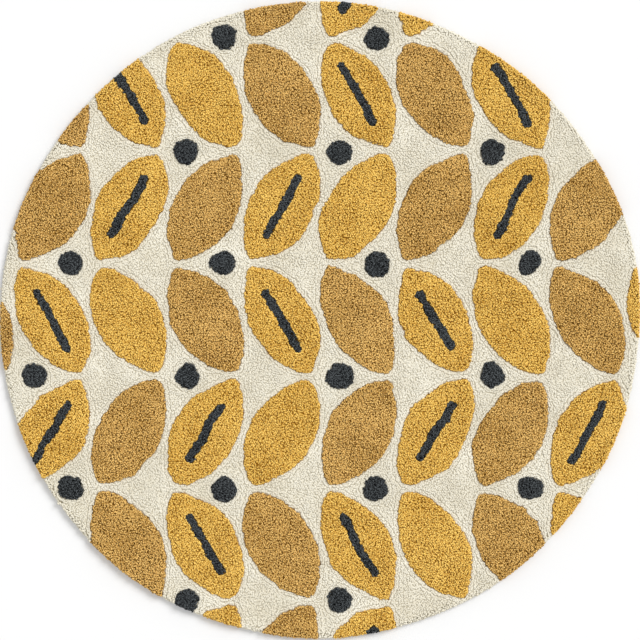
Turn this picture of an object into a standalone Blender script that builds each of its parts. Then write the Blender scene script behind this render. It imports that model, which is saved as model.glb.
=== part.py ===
"""A round tufted kids rug that lies flat, as one solid of backing and cut pile.

Units are metres, +Z is up, and the origin is on the floor under the middle of the rug.
The pile has a low ground. Rows of leaf pads and round berry pads stand a little higher than it,
with carved shoulders, and run off the rim where the rug ends.
"""

import math

import bmesh
import bpy

# The whole rug
RUG_RADIUS = 0.550
RIM_POINTS = 96
GROUND_HEIGHT = 0.0130
RIM_ROUNDING = 0.0050

# How the rim strays from a circle
RIM_WAVES = (
    # waves around, depth, turn in degrees
    (2, 0.0019, -34),
    (3, 0.0009, -11),
    (4, 0.0009, -23),
    (5, 0.0007, -112),
    (7, 0.0004, -104),
    (10, 0.0006, -155),
    (11, 0.0004, -124),
)

# The raised pads
PAD_TOP = 0.0163
PAD_FOOT = 0.0050
PAD_SHOULDER = 0.0040
PAD_INSET = 0.0015
TRIM_RISE = 0.0020
LEAST_REACH = 0.020

# Rows of leaves, which lean one way and then the other
LEAF_HALF_LENGTH = 0.103
LEAF_HALF_WIDTH = 0.055
LEAF_TIP_RADIUS = 0.012
LEAF_TILT = math.radians(30)
LEAF_SIDE_STEPS = 7
LEAF_TIP_STEPS = 3
LEAF_SPACING = 0.132
ROW_SPACING = 0.194
ROWS_EACH_WAY = 4
LEAVES_EACH_WAY = 6
TAN_LEAVES = (0, 3)
YARN_CYCLE = 5

# Berries, in every second gap between the rows, set back from its middle against the lean
BERRY_RADIUS = 0.021
BERRY_POINTS = 14
BERRY_SETBACK = 0.022

# The cutting line of a hand-held tool: how far it strays and over what lengths
SWAY = 0.0015
SWAY_TERMS = 6
SWAY_TURN = 2.4
SWAY_WAVE = 0.068
SWAY_WAVE_STEP = 0.023
SWAY_PHASE = 1.7
SWAY_SHIFT_X = 0.3
SWAY_SHIFT_Y = 4.1

WELD_DISTANCE = 0.00002

# Average yarn colours, linear
MUSTARD = (0.610, 0.352, 0.076)
TAN = (0.468, 0.275, 0.082)
CREAM = (0.745, 0.701, 0.558)
CHARCOAL = (0.036, 0.041, 0.045)
YARN_ROUGHNESS = 0.95


def clear_scene():
    """Remove what the file holds, so that only the rug is left."""
    for item in list(bpy.data.objects):
        bpy.data.objects.remove(item, do_unlink=True)


def collection(name, parent):
    """A new collection inside another."""
    group = bpy.data.collections.new(name)
    parent.children.link(group)
    return group


def yarn(name, colour):
    """Matt yarn in one colour."""
    material = bpy.data.materials.new(name)
    material.use_nodes = True
    shader = material.node_tree.nodes["Principled BSDF"]
    shader.inputs["Base Color"].default_value = (*colour, 1.0)
    shader.inputs["Roughness"].default_value = YARN_ROUGHNESS
    shader.inputs["Metallic"].default_value = 0.0
    return material


def rim_outline(inset=0.0):
    """Points round the rug: a circle with a few slow waves, centred on its own box."""
    points = []
    for step in range(RIM_POINTS):
        angle = 2 * math.pi * step / RIM_POINTS
        radius = RUG_RADIUS - inset
        for waves, depth, turn in RIM_WAVES:
            radius += depth * math.cos(waves * angle + math.radians(turn))
        points.append((radius * math.cos(angle), radius * math.sin(angle)))
    middle_x = (min(x for x, _ in points) + max(x for x, _ in points)) / 2
    middle_y = (min(y for _, y in points) + max(y for _, y in points)) / 2
    return [(x - middle_x, y - middle_y) for x, y in points]


def sway(x, y, shift):
    """A slow, uneven drift: the sum of sine waves in turning directions and growing lengths."""
    total = 0.0
    for term in range(SWAY_TERMS):
        turn = SWAY_TURN * term + shift
        along = x * math.cos(turn) + y * math.sin(turn)
        wave = SWAY_WAVE + SWAY_WAVE_STEP * term
        total += math.sin(2 * math.pi * along / wave + SWAY_PHASE * term * term + shift)
    return SWAY * total / math.sqrt(SWAY_TERMS / 2)


def hand_cut(points):
    """The same outline as a hand-held tool follows it."""
    return [(x + sway(x, y, SWAY_SHIFT_X), y + sway(x, y, SWAY_SHIFT_Y)) for x, y in points]


def leaf_shape():
    """Points round a leaf on the Y axis: two long arcs that meet in small rounded tips."""
    long = LEAF_HALF_LENGTH - LEAF_TIP_RADIUS
    wide = LEAF_HALF_WIDTH - LEAF_TIP_RADIUS
    arc_centre = (long**2 - wide**2) / (2 * wide)
    arc_radius = arc_centre + LEAF_HALF_WIDTH
    tip_angle = math.atan2(long, arc_centre)
    half = []
    for step in range(LEAF_SIDE_STEPS):
        angle = tip_angle * (2 * step / LEAF_SIDE_STEPS - 1)
        half.append((arc_radius * math.cos(angle) - arc_centre, arc_radius * math.sin(angle)))
    for step in range(LEAF_TIP_STEPS):
        angle = tip_angle + (math.pi - 2 * tip_angle) * step / LEAF_TIP_STEPS
        half.append((LEAF_TIP_RADIUS * math.cos(angle), long + LEAF_TIP_RADIUS * math.sin(angle)))
    return half + [(-x, -y) for x, y in half]


def row_lean(row):
    """Which way a row's leaves lean: 1 to the right, -1 to the left."""
    return 1 if row % 2 else -1


def leaf_outline(row, place):
    """The outline of one leaf where it lies."""
    tilt = row_lean(row) * LEAF_TILT
    middle_x = LEAF_SPACING * (place + 0.5)
    middle_y = ROW_SPACING * row
    return hand_cut([
        (
            middle_x + x * math.cos(tilt) + y * math.sin(tilt),
            middle_y - x * math.sin(tilt) + y * math.cos(tilt),
        )
        for x, y in leaf_shape()
    ])


def berry_outline(row, place):
    """The outline of one berry, in the gap over a row."""
    lean = row_lean(row)
    tip_x = LEAF_SPACING * (place + 0.5) + lean * math.tan(LEAF_TILT) * ROW_SPACING / 2
    middle_x = tip_x + LEAF_SPACING / 2 - lean * BERRY_SETBACK
    middle_y = ROW_SPACING * (row + 0.5)
    return hand_cut([
        (
            middle_x + BERRY_RADIUS * math.cos(2 * math.pi * step / BERRY_POINTS),
            middle_y + BERRY_RADIUS * math.sin(2 * math.pi * step / BERRY_POINTS),
        )
        for step in range(BERRY_POINTS)
    ])


def on_the_rug(outline):
    """Whether enough of an outline lies inside the rim to be worth a pad."""
    return min(math.hypot(x, y) for x, y in outline) < RUG_RADIUS - LEAST_REACH


def pad_outlines():
    """The outlines of the mustard leaves, the tan leaves and the berries."""
    mustard, tan, berries = [], [], []
    for row in range(-ROWS_EACH_WAY, ROWS_EACH_WAY + 1):
        for place in range(-LEAVES_EACH_WAY, LEAVES_EACH_WAY + 1):
            leaf = leaf_outline(row, place)
            if on_the_rug(leaf):
                is_tan = (place + 2 * row) % YARN_CYCLE in TAN_LEAVES
                (tan if is_tan else mustard).append(leaf)
            berry = berry_outline(row, place)
            if (place + row) % 2 == 0 and on_the_rug(berry):
                berries.append(berry)
    return mustard, tan, berries


def flat_solid(name, outlines, bottom, top, rounding, steps, group):
    """A flat mesh from closed outlines, its edges rounded inwards above and below."""
    curve = bpy.data.curves.new(name, "CURVE")
    curve.dimensions = "2D"
    curve.fill_mode = "BOTH"
    curve.extrude = (top - bottom) / 2 - rounding
    curve.bevel_depth = rounding
    curve.bevel_resolution = steps
    curve.offset = -rounding
    for outline in outlines:
        spline = curve.splines.new("POLY")
        spline.points.add(len(outline) - 1)
        spline.use_cyclic_u = True
        for point, (x, y) in zip(spline.points, outline):
            point.co = (x, y, 0.0, 1.0)
    drawn = bpy.data.objects.new(name + "_outline", curve)
    drawn.location.z = (bottom + top) / 2
    group.objects.link(drawn)
    bpy.context.view_layer.update()
    evaluated = drawn.evaluated_get(bpy.context.evaluated_depsgraph_get())
    mesh = bpy.data.meshes.new_from_object(evaluated)
    solid = bpy.data.objects.new(name, mesh)
    solid.matrix_world = drawn.matrix_world.copy()
    group.objects.link(solid)
    bpy.data.objects.remove(drawn, do_unlink=True)
    bpy.data.curves.remove(curve)
    weld(mesh)
    return solid


def weld(mesh):
    """Join a converted curve's caps to its sides and turn every face outwards."""
    shape = bmesh.new()
    shape.from_mesh(mesh)
    bmesh.ops.remove_doubles(shape, verts=shape.verts, dist=WELD_DISTANCE)
    bmesh.ops.recalc_face_normals(shape, faces=shape.faces)
    shape.to_mesh(mesh)
    shape.free()


def boolean(target, operation):
    """A Boolean step that keeps each piece's own yarn."""
    step = target.modifiers.new(operation.lower(), "BOOLEAN")
    step.operation = operation
    step.solver = "EXACT"
    step.material_mode = "TRANSFER"
    return step


def pads(name, outlines, colour, trim, group):
    """Raised pads of one yarn, trimmed to the rim."""
    solid = flat_solid(name, outlines, PAD_FOOT, PAD_TOP, PAD_SHOULDER, 1, group)
    solid.data.materials.append(yarn("pile_" + name, colour))
    boolean(solid, "INTERSECT").object = trim


def hide_guides(group):
    """Show the pieces that only cut or join as wire."""
    for guide in group.all_objects:
        guide.hide_render = True
        guide.display_type = "WIRE"


def build_rug():
    """The ground of the pile with every pad raised on it."""
    scene = bpy.context.scene.collection
    model = collection("kids_rug", scene)
    guides = collection("guides", scene)
    raised = collection("raised", guides)
    rug = flat_solid("rug", [rim_outline()], 0.0, GROUND_HEIGHT, RIM_ROUNDING, 2, model)
    rug.data.materials.append(yarn("pile_cream", CREAM))
    trim_top = PAD_TOP + TRIM_RISE
    trim = flat_solid("trim", [rim_outline(PAD_INSET)], 0.0, trim_top, RIM_ROUNDING, 2, guides)
    mustard, tan, berries = pad_outlines()
    pads("mustard", mustard, MUSTARD, trim, raised)
    pads("tan", tan, TAN, trim, raised)
    pads("charcoal", berries, CHARCOAL, trim, raised)
    joined = boolean(rug, "UNION")
    joined.operand_type = "COLLECTION"
    joined.collection = raised
    hide_guides(guides)


clear_scene()
build_rug()
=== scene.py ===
"""A round tufted kids rug: its canvas, the roots of its pile and every tuft of yarn as a mesh.

Lengths are metres in the frame's own axes: +Z is up and the rug's middle is over the origin.
"""

import math

import bpy
import numpy as np
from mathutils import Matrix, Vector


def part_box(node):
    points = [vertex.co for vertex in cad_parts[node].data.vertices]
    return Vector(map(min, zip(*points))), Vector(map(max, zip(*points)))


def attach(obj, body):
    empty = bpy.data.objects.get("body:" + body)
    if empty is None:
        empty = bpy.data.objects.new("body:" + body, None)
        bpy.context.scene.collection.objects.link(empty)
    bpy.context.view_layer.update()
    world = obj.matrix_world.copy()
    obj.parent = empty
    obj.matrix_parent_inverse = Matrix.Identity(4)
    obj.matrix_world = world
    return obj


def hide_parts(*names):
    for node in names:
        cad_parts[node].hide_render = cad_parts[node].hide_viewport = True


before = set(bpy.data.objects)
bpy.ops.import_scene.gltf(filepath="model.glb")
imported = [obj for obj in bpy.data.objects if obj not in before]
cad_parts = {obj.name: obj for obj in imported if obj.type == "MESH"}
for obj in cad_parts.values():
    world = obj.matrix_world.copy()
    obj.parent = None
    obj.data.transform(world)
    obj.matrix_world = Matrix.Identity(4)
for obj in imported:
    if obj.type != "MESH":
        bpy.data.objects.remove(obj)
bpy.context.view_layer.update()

bl_info = {
    "name": "Tufted Kids Rug",
    "version": (1, 0, 0),
    "blender": (4, 5, 0),
    "location": "View3D > Sidebar > Rug",
    "description": "Lays a round tufted rug with rows of raised leaf and berry pads",
    "category": "Add Mesh",
}

RUG_LOW, RUG_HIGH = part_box("rug")

# How the rim strays from a circle: waves around, depth in metres, turn in degrees
RIM_WAVES = (
    (2, 0.0019, -34),
    (3, 0.0009, -11),
    (4, 0.0009, -23),
    (5, 0.0007, -112),
    (7, 0.0004, -104),
    (10, 0.0006, -155),
    (11, 0.0004, -124),
)
RIM_POINTS = 96

# The hand-held cutting line's drift
SWAY_TERMS = 6
SWAY_TURN = 2.4
SWAY_WAVE = 0.068
SWAY_WAVE_STEP = 0.023
SWAY_PHASE = 1.7
SWAY_SHIFT_X = 0.3
SWAY_SHIFT_Y = 4.1

# The pattern's repeat
ROWS_EACH_WAY = 4
LEAVES_EACH_WAY = 6
YARN_CYCLE = 5
TAN_LEAVES = (0, 3)
RIBBED_LEAVES = (1, 4)

# Yarns, by number
CREAM, MUSTARD, TAN, CHARCOAL = range(4)
YARN_NAMES = ("cream", "mustard", "tan", "charcoal")

# How strongly each yarn's tone changes: tuft to tuft, in patches and fibre to fibre; and how strongly
# painted shade darkens it down the pile
YARN_TONES_AND_SHADE = (
    (0.02, 1.2, 1.5, 0.15),
    (0.1, 0.6, 6.5, 0.8),
    (0.1, 0.8, 6.5, 0.8),
    (1.2, 0.6, 6.5, 1.1),
)
YARN_SHEENS = (0.05, 0.05, 0.05, 0.0)

# Farther than any distance on the rug, and too short to matter
FAR = 1.0
TINY = 1e-9

# Smooth noise: its sine waves, how their directions, lengths and phases go on, and its seed's pull
RIPPLE_TERMS = 9
GOLDEN_TURN = 2.399963
RIPPLE_SHORTEST = 0.7
RIPPLE_STEP = 0.08
RIPPLE_PHASE = 2.1
RIPPLE_SEED = 3.3

# How a carved edge strays from stroke to stroke: share of the wobble, wave and seed
STROKES = (
    (0.8, 0.034, 6.1),
    (0.5, 0.012, 2.2),
)

# The canvas: its grid, and how far from its own thickness and radius its cut edge is rounded
CANVAS_SPOKES = 240
CANVAS_RINGS = 12
CUT_ROUND = 0.3
CUT_SHARE = 0.999

# The roots of the pile: their grid, and how they stand over the canvas and bulge at the side
ROOT_SPOKES = 420
ROOT_RINGS = 80
SIDE_STEPS = 5
UNDER_RINGS = 8
ROOTS_OVER_CANVAS = 0.0003
SIDE_BULGE = 0.0004
UNDER_INSET = 0.0015

# Maps for baking: a disc's span, where its wall starts and how far it is spread; a tuft's cell
MAP_SPAN = 2.1
WALL_START = 0.46
WALL_SPREAD = 0.04
CELL_MARGIN = 0.06
CELL_RING = 0.4

# Standing tufts: how far apart their rows are against the pitch, how far past the rim their lattice
# goes, how far inside it they start and how high over the canvas the lowest of them root
LATTICE_ROW = 0.866
LATTICE_MARGIN = 0.01
STANDING_INSET = 0.0034
STANDING_ROOT = 0.0006

# The nap's waves, with their seeds in x and in y, and how a tuft's tip leans at a line and at the rim
NAP_WAVES = (0.040, 0.110)
NAP_SEEDS = ((0.4, 1.9), (5.2, 7.7))
LINE_REACH = 0.003
LEAN_AWAY = 0.0003
CHARCOAL_STRAY = 1.8
LEAN_OVER = 0.0018
LEAN_OVER_REACH = 0.015
RIM_FRAY_REACH = 0.006
RIM_CALM_REACH = 0.008
LEAST_CALM = 0.25

# The way a tuft's longer side points: its turn over a wave and by chance, and its pull along a line
TURN_SPAN = 1.3 * math.pi
TURN_WAVE = 0.055
TURN_SEED = 9.4
TURN_CHANCE = 0.9
ALONG_SHARE = 0.9
ALONG_REACH = 0.0022

# How the unevenness of the shearing changes over the rug
SHEAR_SPREAD = 0.35
SHEAR_WAVE = 0.095
SHEAR_SEED = 3.1

# The rows of tufts round the rim: the shares of the pile's height to which they rise, and their chance
RIM_ROWS = (0.16, 0.32, 0.50, 0.68, 0.85, 0.97)
RIM_SCATTER = 0.3
RIM_SWING = 0.0009
RIM_SPREAD = 0.06
RIM_TWIST = 0.7
RIM_ROOT = 0.0004
RIM_TIP_INSET = 0.0010
BOW_RISE = 0.2

# A tuft's mesh: its sides, how unlike they are, and the tone and the share of its height at its points;
# that share sets painted shade down each tuft
TUFT_SIDES = 4
TUFT_POINTS = TUFT_SIDES + 2
SIDE_SPREAD = (0.82, 1.18)
LOWEST_POINT = 0.0004
MEAN_TONE = 0.5
TONE_STEP = 0.2
RING_REACH = 0.7

# Where the chance for the tufts' places, leans, turns, rim and shapes starts
PLACE_SEED = 11
LEAN_SEED = 23
WAY_SEED = 31
RIM_SEED = 41
SHAPE_SEED = 100

# The fibres' noise is drawn out upwards, the way the pile stands
FIBRE_DRAW = (1.0, 1.0, 0.2)

# The stage: a wide soft sun, an even sky, a long lens straight overhead and the floor just underneath
KEY_STRENGTH = 2.1
KEY_WIDTH = math.radians(28)
KEY_TURN = (math.radians(46), 0, math.radians(130))
SKY_STRENGTH = 0.80
LENS = 100.0
SENSOR_WIDTH = 36.0
VIEW_WIDTH = 1.1036
FLOOR_SIZE = 8.0
FLOOR_DROP = 0.0002


def length_setting(label, about, value):
    """A length for the panel."""
    return bpy.props.FloatProperty(name=label, description=about, default=value, unit="LENGTH")


def share_setting(label, about, value):
    """A share of another size for the panel."""
    return bpy.props.FloatProperty(name=label, description=about, default=value, min=0)


def colour_setting(label, about, value):
    """A linear colour for the panel."""
    return bpy.props.FloatVectorProperty(
        name=label, description=about, subtype="COLOR", default=value, min=0, max=1)


class RugSizes(bpy.types.PropertyGroup):
    """Sizes of the rug as a whole."""

    radius: length_setting("Radius", "Mean radius of the pile's outline", 0.550)
    ground: length_setting("Ground Height", "Height of the low ground of the pile over the floor", 0.0130)
    pad_top: length_setting("Pad Height", "Height of the raised pads over the floor", RUG_HIGH.z)
    shoulder: length_setting("Pad Shoulder", "Radius of the carved shoulder round each pad", 0.0040)
    rim_rounding: length_setting("Rim Rounding", "Radius of the pile's rounded rim", 0.0050)
    groove: length_setting("Groove Depth", "How deep the shears cut the pile beside a pad", 0.0004)
    groove_width: length_setting("Groove Width", "How far from a pad's edge the shears cut", 0.0050)
    canvas: length_setting("Canvas Thickness", "Thickness of the glued canvas underneath", 0.0014)
    roots_inset: length_setting("Roots Inset", "How far inside the rim the pile's roots end", 0.0036)
    roots_rounding: length_setting(
        "Roots Rounding", "Radius to which the pile's roots are rounded at their end", 0.0028)
    canvas_inset: length_setting("Canvas Inset", "How far inside the rim the canvas ends", 0.0050)
    weave: length_setting("Weave Repeat", "Distance over which the canvas's weave repeats", 0.0032)


class LeafSizes(bpy.types.PropertyGroup):
    """Sizes of the pattern's motifs and their repeat."""

    half_length: length_setting("Half Length", "Half the length of a leaf", 0.103)
    half_width: length_setting("Half Width", "Half the width of a leaf", 0.055)
    tip_radius: length_setting("Tip Radius", "Radius of a leaf's rounded tips", 0.012)
    tilt: bpy.props.FloatProperty(
        name="Tilt", description="How far the leaves of a row lean",
        default=math.radians(30), unit="ROTATION")
    spacing: length_setting("Spacing", "Distance between the leaves of a row", 0.132)
    row_spacing: length_setting("Row Spacing", "Distance between the rows", 0.194)
    rib_half_length: length_setting(
        "Rib Half Length", "Half the straight length of a leaf's dark rib", 0.054)
    rib_radius: length_setting("Rib Radius", "Half the thickness of a leaf's dark rib", 0.0072)
    berry_radius: length_setting("Berry Radius", "Radius of a berry", 0.021)
    berry_setback: length_setting(
        "Berry Setback", "How far a berry sits back from the middle of its gap", 0.022)
    least_reach: length_setting(
        "Least Reach", "How far inside the rim a motif has to reach to be tufted", 0.014)
    sway: length_setting("Cutting Sway", "How far the hand-held cutting line drifts", 0.0015)
    wobble: length_setting("Cutting Wobble", "How far a carved edge strays from stroke to stroke", 0.0009)


class TuftSizes(bpy.types.PropertyGroup):
    """Sizes of the tufts of yarn."""

    pitch: length_setting("Pitch", "Distance between neighbouring tufts", 0.00326)
    jitter: length_setting("Jitter", "How far a tuft stands from its even place", 0.00045)
    length: length_setting("Length", "Length of a tuft", 0.0065)
    long_radius: length_setting(
        "Long Radius", "Half the longer width of a tuft where its cut end blooms", 0.0028)
    short_radius: length_setting("Short Radius", "Half the shorter width of a tuft there", 0.0019)
    crown: length_setting("Crown", "How far a tuft's tip stands over its widest place", 0.0012)
    lean: length_setting("Lean", "How far a tuft's tip leans, by chance", 0.0005)
    nap: length_setting("Nap", "How far neighbouring tufts lean the same way", 0.0006)
    uneven: length_setting("Unevenness", "How unevenly the pile is sheared", 0.00055)
    undyed: share_setting(
        "Undyed Share", "The undyed pile's crown, gaps and unevenness against the dyed", 0.34)
    depth: length_setting("Gap Depth", "How far the gaps between tufts reach down", 0.0036)
    clearance: length_setting(
        "Clearance", "How far a tuft keeps from a line between yarns or a parting", 0.0014)
    parting: length_setting(
        "Parting", "Width of the rows that follow an outline, up to their parting", 0.0075)
    fray: length_setting("Fray", "How far tufts stray over an outline or the rim", 0.0009)
    rim_girth: share_setting("Rim Girth", "Width of the rim's tufts against the standing ones", 0.78)
    rim_bow: length_setting("Rim Bow", "How far the rim's tufts bow outwards on their way up", 0.0010)
    rim_waist: share_setting("Rim Waist", "Share of the way up at which the rim's tufts are widest", 0.80)
    charcoal_girth: share_setting("Charcoal Girth", "Width of the charcoal tufts against the others", 1.18)


class YarnColours(bpy.types.PropertyGroup):
    """Darkest and lightest colour of each yarn, and the canvas and floor, linear. A yarn's dark colour is
    also painted shade: in its gaps, down each tuft and on the roots between the tufts.
    """

    cream_dark: colour_setting("Cream Dark", "Undyed yarn in its gaps", (0.67, 0.615, 0.48))
    cream_light: colour_setting("Cream Light", "Undyed yarn at its tips", (0.87, 0.835, 0.72))
    mustard_dark: colour_setting("Mustard Dark", "Mustard yarn in its gaps", (0.46, 0.222, 0.014))
    mustard_light: colour_setting("Mustard Light", "Mustard yarn at its tips", (0.98, 0.685, 0.18))
    tan_dark: colour_setting("Tan Dark", "Tan yarn in its gaps", (0.29, 0.138, 0.012))
    tan_light: colour_setting("Tan Light", "Tan yarn at its tips", (0.88, 0.58, 0.195))
    charcoal_dark: colour_setting("Charcoal Dark", "Charcoal yarn in its gaps", (0.002, 0.0024, 0.003))
    charcoal_light: colour_setting("Charcoal Light", "Charcoal yarn at its tips", (0.088, 0.098, 0.103))
    canvas: colour_setting("Canvas", "Unbleached canvas underneath", (0.60, 0.53, 0.40))
    floor: colour_setting("Floor", "Plain pale floor", (0.80, 0.80, 0.80))


def sizes():
    """The sizes of the rug, its motifs and its tufts, as the panel sets them."""
    scene = bpy.context.scene
    return scene.rug_sizes, scene.leaf_sizes, scene.tuft_sizes


def sway(x, y, shift, reach):
    """A slow drift: the sum of sine waves in turning directions and growing lengths."""
    total = np.zeros_like(x)
    for term in range(SWAY_TERMS):
        turn = SWAY_TURN * term + shift
        along = x * np.cos(turn) + y * np.sin(turn)
        wave = SWAY_WAVE + SWAY_WAVE_STEP * term
        total += np.sin(2 * np.pi * along / wave + SWAY_PHASE * term * term + shift)
    return reach * total / np.sqrt(SWAY_TERMS / 2)


def before_cutting(x, y, reach):
    """Where a point of the cut pattern lies on the drawn one: the drift is taken back, refined once."""
    guess_x = x - sway(x, y, SWAY_SHIFT_X, reach)
    guess_y = y - sway(x, y, SWAY_SHIFT_Y, reach)
    return (
        x - sway(guess_x, guess_y, SWAY_SHIFT_X, reach),
        y - sway(guess_x, guess_y, SWAY_SHIFT_Y, reach),
    )


def ripple(x, y, wave, seed):
    """Smooth noise of unit strength: sine waves in golden-angle directions, lengths near wave."""
    total = np.zeros_like(x)
    for term in range(RIPPLE_TERMS):
        turn = GOLDEN_TURN * (term + 1) + seed
        length = wave * (RIPPLE_SHORTEST + RIPPLE_STEP * term)
        along = x * np.cos(turn) + y * np.sin(turn)
        phase = RIPPLE_PHASE * term * term + RIPPLE_SEED * seed
        total += np.sin(2 * np.pi * along / length + phase)
    return total / np.sqrt(RIPPLE_TERMS / 2)


def rim_radius(angle, mean):
    """The rim's radius at an angle: the mean radius plus a few slow cosine waves."""
    radius = np.full_like(angle, mean)
    for waves, depth, turn in RIM_WAVES:
        radius += depth * np.cos(waves * angle + math.radians(turn))
    return radius


def rim_middle(mean):
    """The middle of the box round the rim's outline, which lies over the origin."""
    angle = 2 * np.pi * np.arange(RIM_POINTS) / RIM_POINTS
    radius = rim_radius(angle, mean)
    x, y = radius * np.cos(angle), radius * np.sin(angle)
    return (x.min() + x.max()) / 2, (y.min() + y.max()) / 2


def rim_distance(x, y, rug):
    """How far inside the rim a point lies, and the outward direction there."""
    middle_x, middle_y = rim_middle(rug.radius)
    from_x, from_y = x + middle_x, y + middle_y
    distance = np.hypot(from_x, from_y)
    inside = rim_radius(np.arctan2(from_y, from_x), rug.radius) - distance
    distance = np.maximum(distance, TINY)
    return inside, from_x / distance, from_y / distance


def leaf_distance(across, along, leaf):
    """Signed distance to a leaf: two arcs that meet in points, grown by the radius of its tips."""
    long = leaf.half_length - leaf.tip_radius
    wide = leaf.half_width - leaf.tip_radius
    centre = (long**2 - wide**2) / (2 * wide)
    across, along = np.abs(across), np.abs(along)
    past_tip = (along - long) * centre > across * long
    to_tip = np.hypot(across, along - long)
    to_arc = np.hypot(across + centre, along) - (centre + wide)
    return np.where(past_tip, to_tip, to_arc) - leaf.tip_radius


def rib_distance(across, along, leaf):
    """Signed distance to a leaf's rib, a straight bar with round ends."""
    past_end = np.maximum(np.abs(along) - leaf.rib_half_length, 0)
    return np.hypot(across, past_end) - leaf.rib_radius


def leaf_places(leaf):
    """Each leaf's row, place in the row, middle, lean and number in the yarn cycle."""
    for row in range(-ROWS_EACH_WAY, ROWS_EACH_WAY + 1):
        lean = 1 if row % 2 else -1
        for place in range(-LEAVES_EACH_WAY, LEAVES_EACH_WAY + 1):
            middle = (leaf.spacing * (place + 0.5), leaf.row_spacing * row)
            yield row, place, middle, lean, (place + 2 * row) % YARN_CYCLE


def berry_middle(row, middle, lean, leaf):
    """The middle of the berry over a leaf's leaning side, in the gap between two rows."""
    tip = middle[0] + lean * math.tan(leaf.tilt) * leaf.row_spacing / 2
    return (
        tip + leaf.spacing / 2 - lean * leaf.berry_setback,
        leaf.row_spacing * (row + 0.5),
    )


def hand_wobble(x, y, leaf):
    """How far a carved edge strays from stroke to stroke: two smooth noises, added."""
    return leaf.wobble * sum(share * ripple(x, y, wave, seed) for share, wave, seed in STROKES)


def across_and_along(x, y, middle, turn):
    """A point's place across and along a leaf."""
    from_x, from_y = x - middle[0], y - middle[1]
    return (
        from_x * math.cos(turn) - from_y * math.sin(turn),
        from_x * math.sin(turn) + from_y * math.cos(turn),
    )


def motifs(x, y, rug, leaf):
    """Signed distance to each leaf, rib and berry on the rug, its yarn and whether it is raised."""
    least = rug.radius - leaf.least_reach
    for row, place, middle, lean, number in leaf_places(leaf):
        turn = lean * leaf.tilt
        if leaf_distance(*across_and_along(0, 0, middle, turn), leaf) < least:
            across, along = across_and_along(x, y, middle, turn)
            yield leaf_distance(across, along, leaf), TAN if number in TAN_LEAVES else MUSTARD, True
            if number in RIBBED_LEAVES:
                yield rib_distance(across, along, leaf), CHARCOAL, False
        berry = berry_middle(row, middle, lean, leaf)
        if (place + row) % 2 == 0 and math.hypot(*berry) - leaf.berry_radius < least:
            yield np.hypot(x - berry[0], y - berry[1]) - leaf.berry_radius, CHARCOAL, True


def pattern(x, y, rug, leaf):
    """Each point's yarn, how far inside a pad it lies and how far it is from another yarn."""
    wobble = hand_wobble(x, y, leaf)
    x, y = before_cutting(x, y, leaf.sway)
    yarn = np.full(x.shape, CREAM)
    depth = np.full(x.shape, -FAR)
    edge = np.full(x.shape, FAR)
    for distance, colour, raised in motifs(x, y, rug, leaf):
        inside = wobble - distance
        if raised:
            depth = np.maximum(depth, inside)
        edge = np.minimum(edge, np.abs(inside))
        yarn[inside > 0] = colour
    return yarn, depth, edge


def quarter_round(distance, radius):
    """How far a rounded edge has fallen at a distance inside it: a quarter circle."""
    short = np.clip(1 - distance / radius, 0, 1)
    return radius * (1 - np.sqrt(1 - short**2))


def carved_height(depth, edge, rug):
    """Height of the pile away from the rim.

    The ground, the pads with their round shoulders, and a groove in the shape of a bell curve along
    each line between two yarns.
    """
    pad = rug.pad_top - quarter_round(depth, rug.shoulder)
    height = np.where(depth > 0, np.maximum(pad, rug.ground), rug.ground)
    return height - rug.groove * np.exp(-2 * (edge / rug.groove_width) ** 2)


def new_mesh(name, points, corners, starts, totals):
    """A mesh object from whole arrays, smooth shaded."""
    mesh = bpy.data.meshes.new(name)
    mesh.vertices.add(len(points))
    mesh.vertices.foreach_set("co", points.astype(np.float32).ravel())
    mesh.loops.add(len(corners))
    mesh.loops.foreach_set("vertex_index", corners.astype(np.int32))
    mesh.polygons.add(len(starts))
    mesh.polygons.foreach_set("loop_start", starts.astype(np.int32))
    mesh.polygons.foreach_set("loop_total", totals.astype(np.int32))
    mesh.polygons.foreach_set("use_smooth", np.ones(len(starts), bool))
    mesh.update(calc_edges=True)
    piece = bpy.data.objects.new(name, mesh)
    bpy.context.collection.objects.link(piece)
    return piece


def point_values(piece, name, values):
    """Keep a number for each of a mesh's points."""
    attribute = piece.data.attributes.new(name, "FLOAT", "POINT")
    attribute.data.foreach_set("value", values.astype(np.float32))


def point_colours(piece, name, colours):
    """Keep a linear colour for each of a mesh's points."""
    attribute = piece.data.color_attributes.new(name, "FLOAT_COLOR", "POINT")
    opaque = np.concatenate([colours, np.ones((len(colours), 1))], axis=1)
    attribute.data.foreach_set("color", opaque.astype(np.float32).ravel())


def corner_places(piece, name, places):
    """A UV map from one place for each face corner."""
    layer = piece.data.uv_layers.new(name=name)
    layer.data.foreach_set("uv", places.astype(np.float32).ravel())


def even_turns(count):
    """Angles all the way round, evenly apart."""
    return 2 * np.pi * np.arange(count) / count


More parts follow.
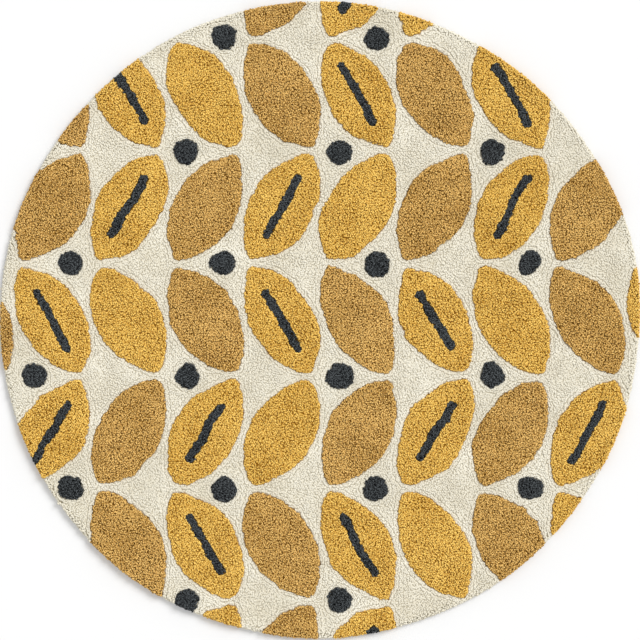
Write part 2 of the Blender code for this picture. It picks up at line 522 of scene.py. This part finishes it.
def closed_disc(name, radii, heights):
    """A turned skin, closed at both poles.

    radii and heights are grids: one row for each ring from the top pole outwards, over the rim and
    in to the bottom pole, one column for each angle. The first and last rows are the poles.
    """
    rings, spokes = radii.shape
    angle = even_turns(spokes)
    points = np.stack([radii * np.cos(angle), radii * np.sin(angle), heights], axis=2)
    inner = points[1:-1].reshape(-1, 3)
    top, bottom = points[0].mean(0), points[-1].mean(0)
    points = np.concatenate([inner, [top], [bottom]])
    top_index, bottom_index = len(inner), len(inner) + 1
    column = np.arange(spokes)
    beside = (column + 1) % spokes
    row = np.arange(rings - 3)[:, None] * spokes
    below = row + spokes
    quads = np.stack([row + column, below + column, below + beside, row + beside], axis=2).reshape(-1, 4)
    last = (rings - 3) * spokes
    first_fan = np.stack([np.full(spokes, top_index), column, beside], axis=1)
    last_fan = np.stack([np.full(spokes, bottom_index), last + beside, last + column], axis=1)
    corners = np.concatenate([quads.ravel(), first_fan.ravel(), last_fan.ravel()])
    totals = np.concatenate([np.full(len(quads), 4), np.full(2 * spokes, 3)])
    starts = np.concatenate([[0], np.cumsum(totals)[:-1]])
    return new_mesh(name, points, corners, starts, totals)


def values_of(parts, name, width, kind=np.float32):
    """A property of a mesh's parts as an array, with a row for each part."""
    values = np.zeros(len(parts) * width, kind)
    parts.foreach_get(name, values)
    return values.reshape(-1, width)


def two_sided_places(piece, rug):
    """Give a disc a map for baking: its top on the left half, its underside on the right.

    A point is where it is seen from above, but its wall is spread outwards as it goes down.
    """
    mesh = piece.data
    facing_down = values_of(mesh.polygons, "normal", 3)[:, 2] < 0
    under = np.repeat(facing_down, values_of(mesh.polygons, "loop_total", 1, np.int32)[:, 0])
    corners = values_of(mesh.loops, "vertex_index", 1, np.int32)[:, 0]
    points = values_of(mesh.vertices, "co", 3)[corners]
    across = points[:, :2] / (MAP_SPAN * rug.radius)
    on_wall = np.hypot(across[:, 0], across[:, 1]) > WALL_START
    spread = 1 + WALL_SPREAD * (1 - points[:, 2] / rug.pad_top) * on_wall
    places = across * spread[:, None] / 2
    places[:, 0] += np.where(under, 0.75, 0.25)
    places[:, 1] += 0.5
    corner_places(piece, "OFBake", places)


def build_canvas():
    """The canvas: a thin disc on the floor, whose cut edge follows the rim.

    Its profile is a list of shares of the radius with their heights, over the top, round the edge
    and back underneath.
    """
    rug = bpy.context.scene.rug_sizes
    edge = rim_radius(even_turns(CANVAS_SPOKES), rug.radius) - rug.canvas_inset
    top = rug.canvas
    profile = [(step / CANVAS_RINGS, top) for step in range(CANVAS_RINGS)]
    profile += [(CUT_SHARE, top), (1.0, (1 - CUT_ROUND) * top), (1.0, CUT_ROUND * top), (CUT_SHARE, 0.0)]
    profile += [(step / CANVAS_RINGS, 0.0) for step in reversed(range(CANVAS_RINGS))]
    share, height = np.array(profile).T
    heights = np.repeat(height[:, None], CANVAS_SPOKES, axis=1)
    piece = closed_disc("canvas_back", share[:, None] * edge, heights)
    centre_on_origin(piece, rug)
    two_sided_places(piece, rug)
    return piece


def centre_on_origin(piece, rug):
    """Move a disc's points so that the box round the rug's outline is over the origin."""
    middle_x, middle_y = rim_middle(rug.radius)
    middle = np.array([middle_x, middle_y, 0.0], np.float32)
    points = values_of(piece.data.vertices, "co", 3) - middle
    piece.data.vertices.foreach_set("co", points.ravel())
    piece.data.update()


def build_roots():
    """The dense roots of the pile: the relief sunk by the depth of the gaps between the tufts."""
    rug, leaf, tuft = sizes()
    angle = even_turns(ROOT_SPOKES)
    edge = rim_radius(angle, rug.radius) - rug.roots_inset
    low = rug.canvas + ROOTS_OVER_CANVAS
    top_radii = np.linspace(0, 1, ROOT_RINGS)[:, None] * edge
    middle_x, middle_y = rim_middle(rug.radius)
    x = top_radii * np.cos(angle) - middle_x
    y = top_radii * np.sin(angle) - middle_y
    yarn, depth, to_yarn = pattern(x, y, rug, leaf)
    rim, _, _ = rim_distance(x, y, rug)
    fallen = quarter_round(rim - rug.roots_inset, rug.roots_rounding)
    gaps = tuft.depth * np.where(yarn == CREAM, tuft.undyed, 1)
    top = carved_height(depth, to_yarn, rug) - fallen - gaps
    side = np.linspace(1, 0, SIDE_STEPS)[1:-1, None]
    side_heights = low + side * (top[-1] - low)
    side_radii = np.repeat(edge[None] + SIDE_BULGE, len(side), axis=0)
    under_radii = np.linspace(1, 0, UNDER_RINGS)[:, None] * (edge - UNDER_INSET)
    radii = np.concatenate([top_radii, side_radii, under_radii])
    heights = np.concatenate([top, side_heights, np.full_like(under_radii, low)])
    yarns = np.concatenate([yarn, np.repeat(yarn[-1:], len(side) + UNDER_RINGS, axis=0)])
    piece = closed_disc("pile_roots", radii, heights)
    centre_on_origin(piece, rug)
    # The roots take each yarn's dark colour, as painted shade between the tufts
    colours = np.array([colour_of(number, "dark") for number in range(len(YARN_NAMES))])
    ends = yarns[[0, -1], [0, 0]]
    painted_shade_colours = colours[np.concatenate([yarns[1:-1].ravel(), ends])]
    point_colours(piece, "yarn", painted_shade_colours)
    two_sided_places(piece, rug)
    return piece


def colour_of(yarn, end):
    """A yarn's dark or light colour as the panel sets it."""
    return tuple(getattr(bpy.context.scene.yarn_colours, f"{YARN_NAMES[yarn]}_{end}"))


def unlike_neighbours(shape, chance):
    """Chance of unit strength on a lattice, less the mean of the four neighbours.

    So tufts that stand together are seldom alike.
    """
    draw = chance.normal(0, 1, shape)
    around = sum(np.roll(draw, way, axis) for way in (-1, 1) for axis in (0, 1))
    return (draw - around / 4) / math.sqrt(1 + 1 / 4)


def tuft_places(rug, leaf, tuft):
    """Where the tufts stand, with two chance numbers for each, for its tone and its height.

    A triangular lattice out to the rim, each tuft strayed a little by chance, and then moved off
    the lines between two yarns towards its own side.
    """
    chance = np.random.default_rng(PLACE_SEED)
    reach = rug.radius + LATTICE_MARGIN
    rows = int(reach / (tuft.pitch * LATTICE_ROW)) + 1
    columns = int(reach / tuft.pitch) + 2
    row, column = np.mgrid[-rows:rows + 1, -columns:columns + 1]
    x = tuft.pitch * (column + 0.5 * (row % 2)) + chance.normal(0, tuft.jitter, row.shape)
    y = tuft.pitch * LATTICE_ROW * row + chance.normal(0, tuft.jitter, row.shape)
    tone = unlike_neighbours(row.shape, chance)
    rise = unlike_neighbours(row.shape, chance)
    inside, _, _ = rim_distance(x, y, rug)
    kept = inside > STANDING_INSET
    x, y, tone, rise = x[kept], y[kept], tone[kept], rise[kept]
    away_x, away_y, off = nearest_line(x, y, rug, leaf, tuft)
    push = np.maximum(tuft.clearance - off, 0)
    return x + push * away_x, y + push * away_y, tone, rise


def nearest_line(x, y, rug, leaf, tuft):
    """The direction away from the nearest line in the pile, and the distance to it.

    A line is a border between two yarns or, in the ground, the parting past the first rows of tufts,
    which follow the outlines.
    """
    step = 0.0002
    yarn, _, edge = pattern(x, y, rug, leaf)
    _, _, edge_x = pattern(x + step, y, rug, leaf)
    _, _, edge_y = pattern(x, y + step, rug, leaf)
    slope_x, slope_y = (edge_x - edge) / step, (edge_y - edge) / step
    steep = np.maximum(np.hypot(slope_x, slope_y), TINY)
    past = edge - tuft.parting
    parted = (yarn == CREAM) & (np.abs(past) < edge)
    side = np.where(parted & (past < 0), -1, 1) / steep
    return side * slope_x, side * slope_y, np.where(parted, np.abs(past), edge)


def lean_of(x, y, line, yarn, rug, tuft):
    """How far each tuft's tip leans: with the nap, by chance and over the rim.

    Beside a line it calms, and there charcoal tufts stray far over the line or back from it, and the
    others stray less and lean away from it a little.
    """
    chance = np.random.default_rng(LEAN_SEED)
    lean_x, lean_y = (
        tuft.nap * sum(ripple(x, y, wave, seed) for wave, seed in zip(NAP_WAVES, seeds))
        for seeds in NAP_SEEDS
    )
    lean_x += chance.normal(0, tuft.lean, x.shape)
    lean_y += chance.normal(0, tuft.lean, x.shape)
    away_x, away_y, off = line
    calm = 1 - np.exp(-((off / LINE_REACH) ** 2))
    stray = tuft.fray * chance.normal(0, 1, x.shape)
    near = np.where(yarn == CHARCOAL, CHARCOAL_STRAY * stray, LEAN_AWAY + stray / 2) * (1 - calm)
    inside, out_x, out_y = rim_distance(x, y, rug)
    over = LEAN_OVER * np.clip(1 - inside / LEAN_OVER_REACH, 0, 1) + stray * (inside < RIM_FRAY_REACH)
    calm = calm * np.clip(inside / RIM_CALM_REACH, LEAST_CALM, 1)
    return lean_x * calm + near * away_x + over * out_x, lean_y * calm + near * away_y + over * out_y


def long_ways(x, y, line):
    """The way each tuft's longer side points: with the nap, or along a line close beside it."""
    chance = np.random.default_rng(WAY_SEED)
    turn = TURN_SPAN * ripple(x, y, TURN_WAVE, TURN_SEED) + chance.normal(0, TURN_CHANCE, x.shape)
    nap_x, nap_y = np.cos(turn), np.sin(turn)
    away_x, away_y, off = line
    nearer_way = np.where(nap_y * away_x - nap_x * away_y < 0, -1, 1)
    along = nearer_way * ALONG_SHARE * np.exp(-((off / ALONG_REACH) ** 2))
    rest = 1 - np.abs(along)
    return np.stack([rest * nap_x - along * away_y, rest * nap_y + along * away_x, 0 * x], axis=1)


def standing_tufts(rug, leaf, tuft):
    """The tufts that make the pile's upper face.

    Arrays of their roots, widest places, tips, long ways, girths, yarns and tones.
    """
    x, y, tone, rise = tuft_places(rug, leaf, tuft)
    yarn, depth, edge = pattern(x, y, rug, leaf)
    line = nearest_line(x, y, rug, leaf, tuft)
    rim, _, _ = rim_distance(x, y, rug)
    lean_x, lean_y = lean_of(x, y, line, yarn, rug, tuft)
    high = carved_height(depth, edge, rug) - quarter_round(rim, rug.rim_rounding)
    rough = 1 + SHEAR_SPREAD * ripple(x, y, SHEAR_WAVE, SHEAR_SEED)
    high += tuft.uneven * rough * rise * np.where(yarn == CREAM, tuft.undyed, 1)
    tips = np.stack([x + lean_x, y + lean_y, high], axis=1)
    roots = np.stack([x, y, np.maximum(high - tuft.length, rug.canvas + STANDING_ROOT)], axis=1)
    crown = tuft.crown * np.where(yarn == CREAM, tuft.undyed, 1)
    middles = tips - crown[:, None] * unit(tips - roots)
    girths = np.where(yarn == CHARCOAL, tuft.charcoal_girth, 1)
    return roots, middles, tips, long_ways(x, y, line), girths, yarn, tone


def unit(arrows):
    """Arrows of the same directions and of length one."""
    return arrows / np.linalg.norm(arrows, axis=1, keepdims=True)


def rim_tufts(rug, leaf, tuft):
    """The tufts round the rim, in the same arrays as the standing ones.

    They rise from the canvas's edge in rows, to mixed heights on the rim's rounded profile, and bow
    outwards on their way up.
    """
    chance = np.random.default_rng(RIM_SEED)
    rows = []
    middle = np.array([*rim_middle(rug.radius), 0.0])
    count = int(2 * np.pi * rug.radius / (tuft.pitch * tuft.rim_girth))
    girths = np.full(count, tuft.rim_girth)
    for row, share in enumerate(RIM_ROWS):
        angle = 2 * np.pi * (np.arange(count) + 0.5 * (row % 2)) / count
        angle += chance.normal(0, RIM_SCATTER * tuft.pitch / rug.radius, count)
        turned = angle + chance.normal(0, RIM_SWING / rug.radius, count)
        radius = rim_radius(angle, rug.radius)
        near = turned_places(angle, radius - rug.canvas_inset, rug.canvas + RIM_ROOT)
        yarn, depth, edge = pattern(near[:, 0] - middle[0], near[:, 1] - middle[1], rug, leaf)
        full = carved_height(depth, np.full_like(depth, FAR), rug)
        high = full * np.minimum(share + chance.normal(0, RIM_SPREAD, count), 1)
        fallen = quarter_round(full - high, rug.rim_rounding)
        out = radius - RIM_TIP_INSET - fallen + chance.normal(0, tuft.fray, count)
        far = turned_places(turned, out, high)
        bow = tuft.rim_bow * turned_places(angle, 1.0, BOW_RISE)
        waists = near + tuft.rim_waist * (far - near) + bow
        twist = chance.normal(0, RIM_TWIST, count)
        ways = turned_places(angle + np.pi / 2, np.cos(twist), np.sin(twist))
        tone = chance.normal(0, 1, count)
        rows.append((near - middle, waists - middle, far - middle, ways, girths, yarn, tone))
    return tuple(np.concatenate(part) for part in zip(*rows))


def turned_places(angle, radius, height):
    """Points from their angle round the upright axis, their distance from it and their height."""
    return np.stack([radius * np.cos(angle), radius * np.sin(angle), height + 0 * angle], axis=1)


def tuft_mesh(name, roots, middles, tips, ways, girths, tones, seed):
    """Many tufts as one mesh.

    A tuft widens from its root to a ring round its widest place, square to the line from root to tip
    and longer one way than the other, and closes over it in a blunt tip.
    """
    tuft = bpy.context.scene.tuft_sizes
    chance = np.random.default_rng(seed)
    count = len(roots)
    line = unit(tips - roots)
    aside = unit(ways - line * (ways * line).sum(axis=1, keepdims=True))
    across = np.cross(line, aside)
    turn = even_turns(TUFT_SIDES)[:, None]
    wide = np.where(np.arange(TUFT_SIDES) % 2, tuft.short_radius, tuft.long_radius)[:, None]
    spokes = wide * np.cos(turn) * aside[:, None] + wide * np.sin(turn) * across[:, None]
    spokes *= girths[:, None, None] * chance.uniform(*SIDE_SPREAD, (count, TUFT_SIDES, 1))
    ring = middles[:, None] + spokes
    points = np.concatenate([roots[:, None], ring, tips[:, None]], axis=1)
    points[:, :, 2] = np.maximum(points[:, :, 2], LOWEST_POINT)
    first = 1 + np.arange(TUFT_SIDES)
    second = 1 + (np.arange(TUFT_SIDES) + 1) % TUFT_SIDES
    root, tip = np.zeros_like(first), np.full_like(first, TUFT_SIDES + 1)
    one = np.concatenate([
        np.stack([second, first, root], axis=1),
        np.stack([first, second, tip], axis=1),
    ])
    triangles = (one[None] + TUFT_POINTS * np.arange(count)[:, None, None]).reshape(-1, 3)
    starts = 3 * np.arange(len(triangles))
    piece = new_mesh(name, points.reshape(-1, 3), triangles.ravel(), starts, np.full_like(starts, 3))
    tone = np.repeat((MEAN_TONE + TONE_STEP * tones).clip(0, 1), TUFT_POINTS)
    # Each point's share of the way up its tuft, which darkens the yarn towards the root as painted shade
    reach = np.tile([0.0] + [RING_REACH] * TUFT_SIDES + [1.0], count)
    point_values(piece, "tone", tone)
    point_values(piece, "reach", reach)
    corner_places(piece, "OFBake", tuft_cells(count))
    return piece


def tuft_cells(count):
    """A map for baking: each tuft has one square cell, its sides unrolled across it and up it."""
    across = int(math.ceil(math.sqrt(count)))
    cell = np.arange(count)
    corner = np.stack([cell % across, cell // across], axis=1)
    start = np.arange(TUFT_SIDES)
    low, middle, high = (np.full(TUFT_SIDES, share) for share in (0.0, CELL_RING, 1.0))
    below = np.stack([start + 1, middle, start, middle, start + 0.5, low], axis=1)
    above = np.stack([start, middle, start + 1, middle, start + 0.5, high], axis=1)
    one = np.concatenate([below, above]).reshape(-1, 2) / (TUFT_SIDES, 1)
    one = CELL_MARGIN + (1 - 2 * CELL_MARGIN) * one
    return ((corner[:, None] + one[None]) / across).reshape(-1, 2)


def build_tufts():
    """The tufts of each yarn, in a left and a right piece so that neither is too heavy."""
    rug, leaf, tuft = sizes()
    both = zip(standing_tufts(rug, leaf, tuft), rim_tufts(rug, leaf, tuft))
    *places, yarns, tones = (np.concatenate(part) for part in both)
    left = places[0][:, 0] < 0
    for yarn, yarn_name in enumerate(YARN_NAMES):
        for side, half in (("left", left), ("right", ~left)):
            chosen = half & (yarns == yarn)
            seed = SHAPE_SEED + 2 * yarn + (side == "right")
            yield yarn, tuft_mesh(
                f"pile_{yarn_name}_{side}", *(part[chosen] for part in places), tones[chosen], seed)


def node(tree, kind, place, *first, **named):
    """A shader node at a place, with its first inputs and its named ones set or linked."""
    made = tree.nodes.new(kind)
    made.location = place
    given = list(zip(made.inputs, first))
    given += [(made.inputs[name.replace("_", " ")], value) for name, value in named.items()]
    for socket, value in given:
        if isinstance(value, bpy.types.NodeSocket):
            tree.links.new(value, socket)
        else:
            socket.default_value = value
    return made


def maths(tree, place, operation, first, second=0.0):
    """A Math node's result."""
    made = node(tree, "ShaderNodeMath", place, first, second)
    made.operation = operation
    return made.outputs[0]


def scaled_colour(tree, place, colour, factor):
    """A colour, fixed or from a socket, times a number from a socket."""
    made = node(tree, "ShaderNodeVectorMath", place, colour)
    made.operation = "SCALE"
    tree.links.new(factor, made.inputs["Scale"])
    return made.outputs[0]


def group_tree(name, inputs, outputs):
    """A new shader node group with named inputs and outputs."""
    tree = bpy.data.node_groups.new(name, "ShaderNodeTree")
    for label, kind, default in inputs:
        socket = tree.interface.new_socket(label, in_out="INPUT", socket_type=kind)
        if default is not None:
            socket.default_value = default
    for label, kind in outputs:
        tree.interface.new_socket(label, in_out="OUTPUT", socket_type=kind)
    return tree, tree.nodes.new("NodeGroupInput"), tree.nodes.new("NodeGroupOutput")


def attribute(tree, place, name, kind="Fac"):
    """A number, or with kind Color a colour, kept at a mesh's points."""
    made = node(tree, "ShaderNodeAttribute", place)
    made.attribute_name = name
    return made.outputs[kind]


def object_place(tree, place):
    """Each point's place on its piece, which is its place in the rug."""
    return node(tree, "ShaderNodeTexCoord", place).outputs["Object"]


def yarn_tone_group():
    """A yarn's colour between its dark and its light one.

    What moves it: each tuft's own tone, slow patches over the rug, the fibres in a tuft, and painted shade
    that darkens the yarn deeper in the pile, towards each tuft's root.
    """
    tree, given, result = group_tree(
        "yarn_tone",
        [
            ("Dark", "NodeSocketColor", None),
            ("Light", "NodeSocketColor", None),
            ("Tone Spread", "NodeSocketFloat", 1.0),
            ("Patches", "NodeSocketFloat", 0.3),
            ("Fibres", "NodeSocketFloat", 0.8),
            ("Depth Shade", "NodeSocketFloat", 0.6),
        ],
        [("Color", "NodeSocketColor")],
    )
    place = object_place(tree, (-1800, -100))
    slow = node(tree, "ShaderNodeTexNoise", (-1400, 0), Vector=place, Scale=15.0, Detail=2.0)
    drawn = node(tree, "ShaderNodeMapping", (-1600, -350), Vector=place, Scale=FIBRE_DRAW).outputs["Vector"]
    fine = node(tree, "ShaderNodeTexNoise", (-1400, -250), Vector=drawn, Scale=600.0, Detail=1.0)
    light = None
    # Each part's value, the value at which it changes nothing, and the input that sets its strength
    parts = (
        (attribute(tree, (-1400, 250), "tone"), 0.5, "Tone Spread"),
        (slow.outputs["Fac"], 0.5, "Patches"),
        (fine.outputs["Fac"], 0.5, "Fibres"),
        # The reach up each tuft sets painted shade: darker towards the root, a little lighter at the tip
        (attribute(tree, (-1400, -500), "reach"), 0.9, "Depth Shade"),
    )
    for number, (value, even, strength) in enumerate(parts):
        height = 250 - 250 * number
        off = maths(tree, (-1200, height), "SUBTRACT", value, even)
        off = maths(tree, (-1000, height), "MULTIPLY", off, given.outputs[strength])
        light = maths(tree, (-800 + 200 * number, height), "ADD", off, light or 0.5)
    mix = node(tree, "ShaderNodeMix", (200, 0))
    mix.data_type = "RGBA"
    tree.links.new(light, mix.inputs["Factor"])
    tree.links.new(given.outputs["Dark"], mix.inputs["A"])
    tree.links.new(given.outputs["Light"], mix.inputs["B"])
    tree.links.new(mix.outputs["Result"], result.inputs["Color"])
    return tree


def fibre_group():
    """Height of loose fibres: fine noise, drawn out the way the pile stands."""
    tree, given, result = group_tree(
        "loose_fibres", [("Size", "NodeSocketFloat", 900.0)], [("Height", "NodeSocketFloat")])
    place = object_place(tree, (-1000, 0))
    drawn = node(tree, "ShaderNodeMapping", (-800, 0), Vector=place, Scale=FIBRE_DRAW).outputs["Vector"]
    noise = node(tree, "ShaderNodeTexNoise", (-600, 0), Vector=drawn, Scale=given.outputs["Size"],
                 Detail=3.0, Roughness=0.6)
    tree.links.new(noise.outputs["Fac"], result.inputs["Height"])
    return tree


def matt_material(name, roughness, sheen=0.0):
    """A matt material, with a soft sheen if wanted, and its node tree and its shader."""
    material = bpy.data.materials.new(name)
    material.use_nodes = True
    tree = material.node_tree
    shader = tree.nodes["Principled BSDF"]
    shader.inputs["Roughness"].default_value = roughness
    shader.inputs["Specular IOR Level"].default_value = 0.15
    shader.inputs["Sheen Weight"].default_value = sheen
    shader.inputs["Sheen Roughness"].default_value = 0.6
    return material, tree, shader


def add_group(tree, group, place, **inputs):
    """A node group placed in a material with its own values."""
    made = tree.nodes.new("ShaderNodeGroup")
    made.node_tree = group
    made.location = place
    for name, value in inputs.items():
        made.inputs[name.replace("_", " ")].default_value = value
    return made


def yarn_material(yarn):
    """Cut pile in one yarn."""
    material, tree, shader = matt_material(f"yarn_{YARN_NAMES[yarn]}", 0.9, YARN_SHEENS[yarn])
    # The last value is the strength of the painted shade down the pile
    spread, patches, fibres, depth = YARN_TONES_AND_SHADE[yarn]
    tone = add_group(tree, shared_group("yarn_tone", yarn_tone_group), (-500, 200),
                     Dark=(*colour_of(yarn, "dark"), 1.0), Light=(*colour_of(yarn, "light"), 1.0),
                     Tone_Spread=spread, Patches=patches, Fibres=fibres, Depth_Shade=depth)
    fibres = add_group(tree, shared_group("loose_fibres", fibre_group), (-700, -200), Size=900.0)
    bump = node(tree, "ShaderNodeBump", (-300, -200), Strength=0.6, Distance=0.0005,
                Height=fibres.outputs["Height"])
    tree.links.new(tone.outputs["Color"], shader.inputs["Base Color"])
    tree.links.new(bump.outputs["Normal"], shader.inputs["Normal"])
    return material


def shared_group(name, make):
    """A node group, made once."""
    return bpy.data.node_groups.get(name) or make()


def roots_material():
    """Painted shade deep between the tufts: the dark colour of the yarn that stands there, darkened further
    by a noisy factor.
    """
    material, tree, shader = matt_material("pile_depth", 0.95)
    place = object_place(tree, (-900, -200))
    noise = node(tree, "ShaderNodeTexNoise", (-700, -200), Vector=place, Scale=420.0, Detail=2.0)
    # Painted shade: a noisy factor that darkens the roots below the yarn's dark colour
    shade = node(tree, "ShaderNodeMapRange", (-500, -200), Value=noise.outputs["Fac"],
                 To_Min=0.6, To_Max=0.95)
    yarn = attribute(tree, (-700, 100), "yarn", "Color")
    colour = scaled_colour(tree, (-300, 0), yarn, shade.outputs["Result"])
    tree.links.new(colour, shader.inputs["Base Color"])
    return material


def canvas_material():
    """Plain-woven canvas: threads cross over and under, with slubs and slow changes of tone. Its colour
    follows the weave's height: painted shade where the weave sinks and painted light where it rises, with
    random tone from the slubs.
    """
    material, tree, shader = matt_material("canvas", 0.9)
    scene = bpy.context.scene
    place = object_place(tree, (-1600, 0))
    apart = node(tree, "ShaderNodeSeparateXYZ", (-1400, 0), Vector=place)
    turns = 2 * math.pi / scene.rug_sizes.weave
    waves = []
    for row, axis in enumerate("XY"):
        turned = maths(tree, (-1200, -200 * row), "MULTIPLY", apart.outputs[axis], turns)
        waves.append(maths(tree, (-1000, -200 * row), "SINE", turned))
    woven = maths(tree, (-800, 0), "MULTIPLY", *waves)
    slubs = node(tree, "ShaderNodeTexNoise", (-1000, -500), Vector=place, Scale=160.0, Detail=3.0)
    half = maths(tree, (-700, 0), "MULTIPLY", woven, 0.5)
    height = maths(tree, (-600, 0), "ADD", half, slubs.outputs["Fac"])
    # Colour from height: painted shade in the weave's hollows, painted light on its raised threads, random
    # tone from the slubs
    tone = node(tree, "ShaderNodeMapRange", (-400, 200), Value=height,
                From_Min=-0.2, From_Max=1.2, To_Min=0.55, To_Max=1.2)
    colour = scaled_colour(tree, (-200, 200), tuple(scene.yarn_colours.canvas), tone.outputs["Result"])
    bump = node(tree, "ShaderNodeBump", (-200, -200), Strength=0.6, Distance=0.0004, Height=height)
    tree.links.new(colour, shader.inputs["Base Color"])
    tree.links.new(bump.outputs["Normal"], shader.inputs["Normal"])
    return material


def floor_material():
    """Plain pale floor with the faintest change of tone."""
    material, tree, shader = matt_material("pale_floor", 0.8)
    plain = tuple(bpy.context.scene.yarn_colours.floor)
    noise = node(tree, "ShaderNodeTexNoise", (-500, 0), Vector=object_place(tree, (-700, 0)), Scale=2.0)
    tone = node(tree, "ShaderNodeMapRange", (-300, 0), Value=noise.outputs["Fac"], To_Min=0.985, To_Max=1.0)
    colour = scaled_colour(tree, (-100, 0), plain, tone.outputs["Result"])
    tree.links.new(colour, shader.inputs["Base Color"])
    return material


class RUG_OT_canvas(bpy.types.Operator):
    """Lay the canvas that the pile is tufted into"""

    bl_idname = "rug.canvas"
    bl_label = "Lay Canvas"

    def execute(self, context):
        piece = build_canvas()
        piece.data.materials.append(canvas_material())
        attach(piece, "root")
        return {"FINISHED"}


class RUG_OT_roots(bpy.types.Operator):
    """Make the dense roots of the pile, with its ground, pads and rim"""

    bl_idname = "rug.roots"
    bl_label = "Make Pile Roots"

    def execute(self, context):
        piece = build_roots()
        piece.data.materials.append(roots_material())
        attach(piece, "root")
        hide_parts("rug")
        return {"FINISHED"}


class RUG_OT_tufts(bpy.types.Operator):
    """Tuft the pile in its four yarns"""

    bl_idname = "rug.tufts"
    bl_label = "Tuft Pile"

    def execute(self, context):
        materials = [yarn_material(yarn) for yarn in range(len(YARN_NAMES))]
        for yarn, piece in build_tufts():
            piece.data.materials.append(materials[yarn])
            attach(piece, "root")
        return {"FINISHED"}


class RUG_OT_cloth(bpy.types.Operator):
    bl_idname = "rug.cloth"
    bl_label = "Declare Cloth"

    def execute(self, context):
        return {"FINISHED"}


class RUG_OT_stage(bpy.types.Operator):
    """Set the floor, the soft lights and the camera straight overhead"""

    bl_idname = "rug.stage"
    bl_label = "Set Stage"

    def execute(self, context):
        bpy.ops.mesh.primitive_plane_add(size=FLOOR_SIZE, location=(0, 0, -FLOOR_DROP))
        floor = context.object
        floor.name = "floor"
        floor.data.materials.append(floor_material())
        set_lights()
        set_camera()
        return {"FINISHED"}


def set_lights():
    """An even pale sky, and a wide soft key from the upper right of the picture."""
    data = bpy.data.lights.new("key", "SUN")
    data.energy = KEY_STRENGTH
    data.angle = KEY_WIDTH
    key = bpy.data.objects.new("key", data)
    key.rotation_euler = KEY_TURN
    bpy.context.collection.objects.link(key)
    world = bpy.data.worlds.new("sky")
    bpy.context.scene.world = world
    world.use_nodes = True
    sky = world.node_tree.nodes["Background"]
    sky.inputs["Color"].default_value = (1, 1, 1, 1)
    sky.inputs["Strength"].default_value = SKY_STRENGTH
    bpy.context.scene.view_settings.view_transform = "Standard"


def set_camera():
    """A long lens straight over the rug, which fills the square picture as in the photograph."""
    data = bpy.data.cameras.new("camera")
    data.lens = LENS
    data.sensor_width = SENSOR_WIDTH
    camera = bpy.data.objects.new("camera", data)
    above = VIEW_WIDTH * LENS / SENSOR_WIDTH
    camera.location = (0, 0, bpy.context.scene.rug_sizes.ground + above)
    bpy.context.collection.objects.link(camera)
    bpy.context.scene.camera = camera


class RUG_PT_panel(bpy.types.Panel):
    """The rug's operators and settings in the sidebar"""

    bl_idname = "RUG_PT_panel"
    bl_label = "Tufted Kids Rug"
    bl_space_type = "VIEW_3D"
    bl_region_type = "UI"
    bl_category = "Rug"

    def draw(self, context):
        layout = self.layout
        for group in (context.scene.rug_sizes, context.scene.leaf_sizes, context.scene.tuft_sizes,
                      context.scene.yarn_colours):
            box = layout.box()
            for name in group.__annotations__:
                box.prop(group, name)
        for operator in OPERATORS:
            layout.operator(operator.bl_idname)


GROUPS = {
    "rug_sizes": RugSizes,
    "leaf_sizes": LeafSizes,
    "tuft_sizes": TuftSizes,
    "yarn_colours": YarnColours,
}
OPERATORS = (RUG_OT_canvas, RUG_OT_roots, RUG_OT_tufts, RUG_OT_cloth, RUG_OT_stage)


def register():
    """Register the settings, the operators and the panel."""
    for name, group in GROUPS.items():
        bpy.utils.register_class(group)
        setattr(bpy.types.Scene, name, bpy.props.PointerProperty(type=group))
    for item in (*OPERATORS, RUG_PT_panel):
        bpy.utils.register_class(item)


def unregister():
    """Take back what register did."""
    for item in reversed((*OPERATORS, RUG_PT_panel)):
        bpy.utils.unregister_class(item)
    for name, group in GROUPS.items():
        delattr(bpy.types.Scene, name)
        bpy.utils.unregister_class(group)


def main():
    """Build the rug and its stage."""
    register()
    bpy.ops.rug.canvas()
    bpy.ops.rug.roots()
    bpy.ops.rug.tufts()
    bpy.ops.rug.cloth()
    bpy.ops.rug.stage()


if __name__ == "__main__":
    main()
